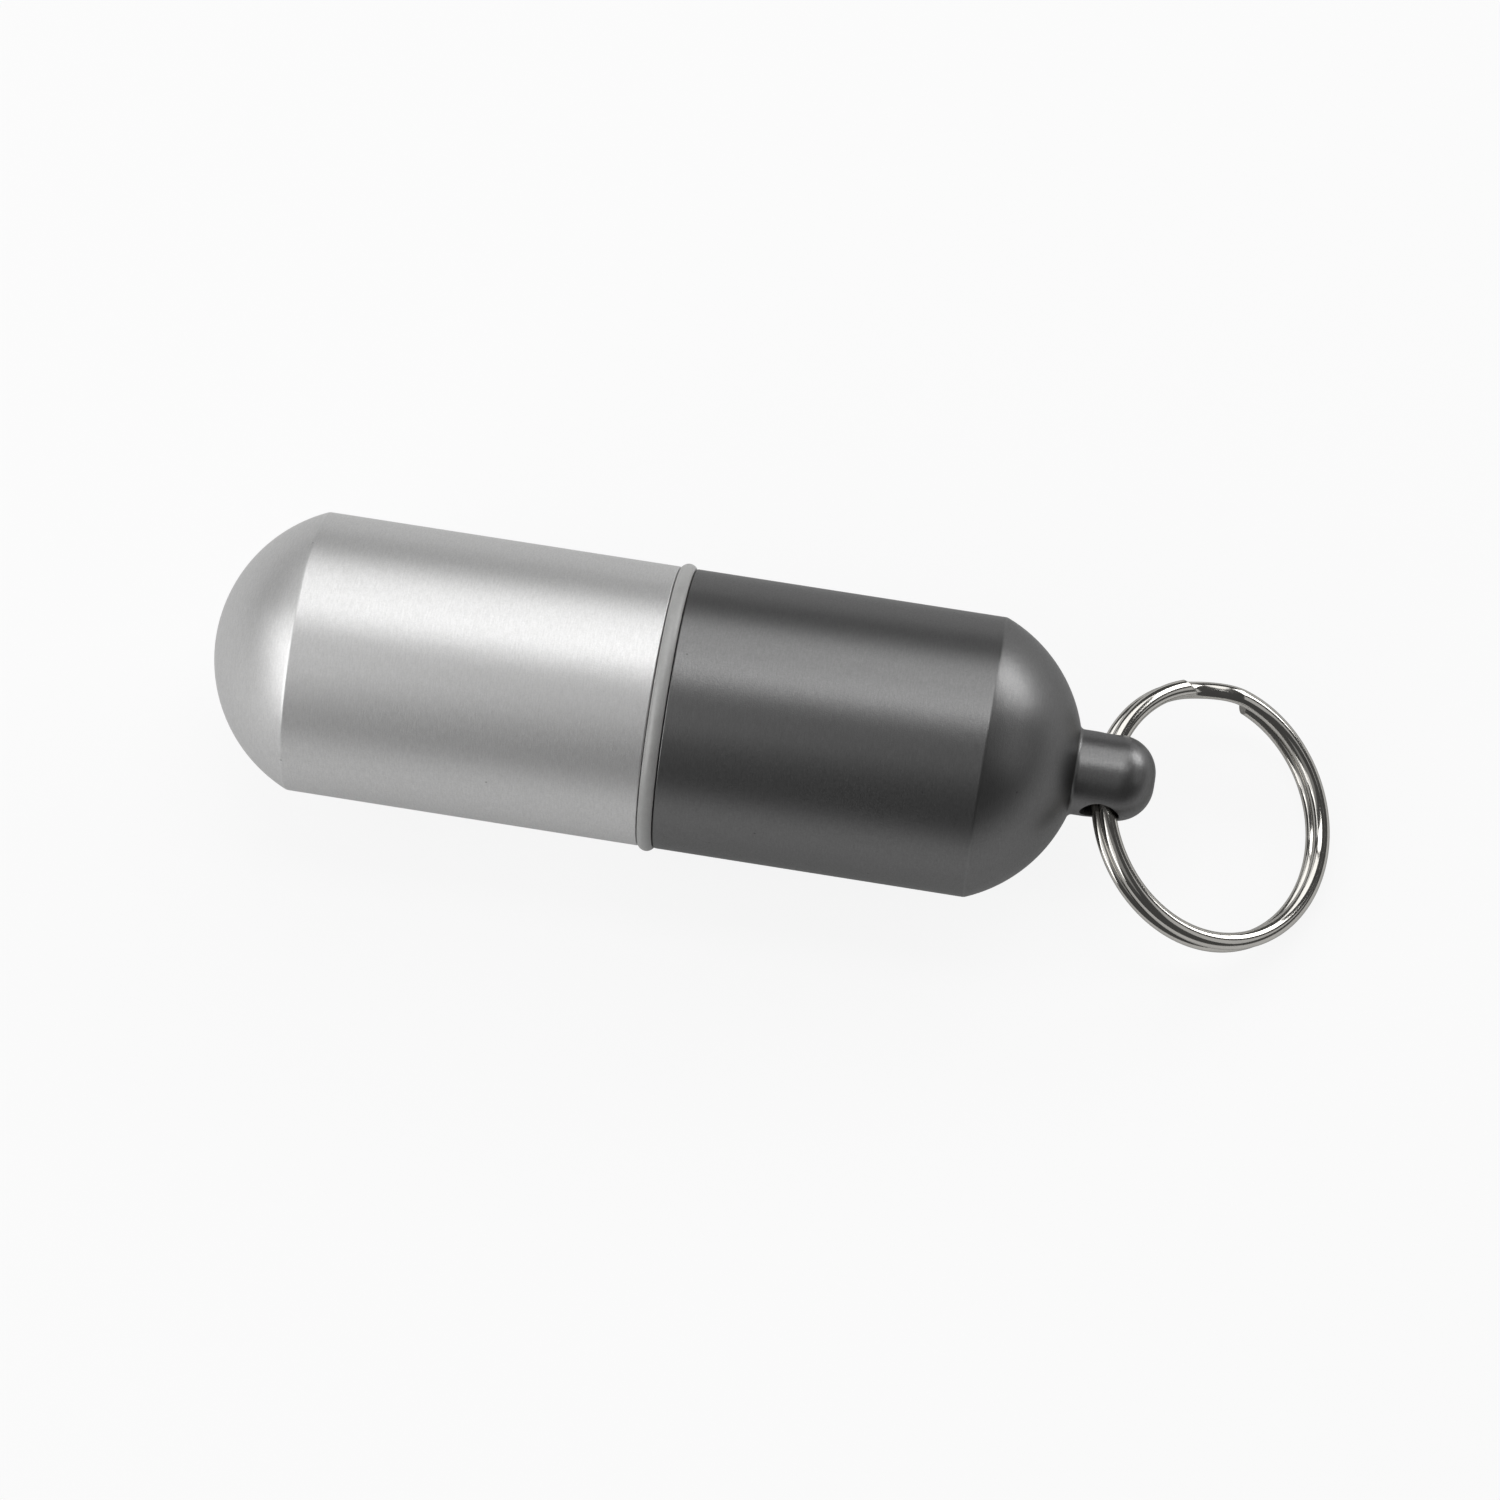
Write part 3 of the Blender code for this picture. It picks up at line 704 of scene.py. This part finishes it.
floor = bmesh.new()
bmesh.ops.create_grid(floor, x_segments=1, y_segments=1, size=TABLE_HALF_SIDE)
table_top = finish_shell(floor, "table_top")
white, tree, shader = start_material("white_table")
shader.inputs["Base Color"].default_value = (TABLE_WHITE, TABLE_WHITE, TABLE_WHITE, 1)
shader.inputs["Roughness"].default_value = TABLE_ROUGHNESS
shader.inputs["Specular IOR Level"].default_value = 0
path = node(tree, "LightPath").outputs
mirrored = reckon(tree, "MAXIMUM", path["Is Glossy Ray"], path["Is Transmission Ray"])
mirrored = reckon(tree, "MULTIPLY", mirrored, TABLE_IN_METAL)
share = reckon(tree, "MULTIPLY", path["Is Camera Ray"], TABLE_PLAIN_WHITE)
share = reckon(tree, "MAXIMUM", share, mirrored)
glow = node(tree, "Emission", {"Strength": 1.0}).outputs["Emission"]
mix = node(tree, "MixShader", {"Fac": share, 1: shader.outputs["BSDF"], 2: glow})
tree.links.new(mix.outputs["Shader"], tree.nodes["Material Output"].inputs["Surface"])
table_top.data.materials.append(white)


def soft_box(name, towards, width, length, power):
    """A rectangular lamp that faces the object from a direction."""
    data = bpy.data.lights.new(name, "AREA")
    data.shape = "RECTANGLE"
    data.size = width
    data.size_y = length
    data.energy = power
    lamp = bpy.data.objects.new(name, data)
    towards = Vector(towards).normalized()
    facing = towards.to_track_quat("Z", "Y").to_matrix().to_4x4()
    lamp.matrix_world = Matrix.Translation(AIM + towards * BOX_DISTANCE) @ facing
    bpy.context.scene.collection.objects.link(lamp)


soft_box("box_over", (0.0, 0.24, 0.97), 0.5, 0.14, power=0.86)
soft_box("box_back", (0.0, 0.67, 0.74), 0.5, 0.4, power=1.17)
soft_box("box_high_front", (0.0, -0.38, 0.92), 0.5, 0.35, power=0.13)
soft_box("box_left", (-0.80, -0.15, 0.58), 0.4, 0.35, power=1.07)
soft_box("box_left_back", (-0.64, 0.58, 0.50), 0.3, 0.3, power=0.28)
soft_box("box_left_front", (-0.66, -0.66, 0.37), 0.3, 0.3, power=0.8)
soft_box("box_left_high", (-0.45, -0.45, 0.77), 0.3, 0.3, power=0.3)
soft_box("box_right_back", (0.67, 0.67, 0.33), 0.3, 0.26, power=1.27)
soft_box("box_right", (0.90, 0.0, 0.43), 0.3, 0.26, power=0.15)

world = bpy.data.worlds.new("studio_room")
world.use_nodes = True
world.node_tree.nodes["Background"].inputs["Color"].default_value = (1, 1, 1, 1)
world.node_tree.nodes["Background"].inputs["Strength"].default_value = ROOM_LIGHT
bpy.context.scene.world = world

right = Vector((math.cos(AZIMUTH), math.sin(AZIMUTH), 0))
level = math.sin(ELEVATION)
up = Vector((-level * math.sin(AZIMUTH), level * math.cos(AZIMUTH), math.cos(ELEVATION)))
back = right.cross(up)
across = (MIDDLE_AT[0] - FRAME_PIXELS / 2) / FOCAL_PIXELS * DEPTH
above = (FRAME_PIXELS / 2 - MIDDLE_AT[1]) / FOCAL_PIXELS * DEPTH
lens = bpy.data.cameras.new("camera")
lens.sensor_width = SENSOR_WIDTH
lens.lens = FOCAL_PIXELS / FRAME_PIXELS * SENSOR_WIDTH
lens.clip_start = NEAREST
camera = bpy.data.objects.new("camera", lens)
facing = Matrix((right, up, back)).transposed().to_4x4()
camera.matrix_world = Matrix.Translation(MIDDLE - across * right - above * up + DEPTH * back) @ facing
bpy.context.scene.collection.objects.link(camera)
bpy.context.scene.camera = camera
bpy.context.scene.view_settings.view_transform = "Standard"
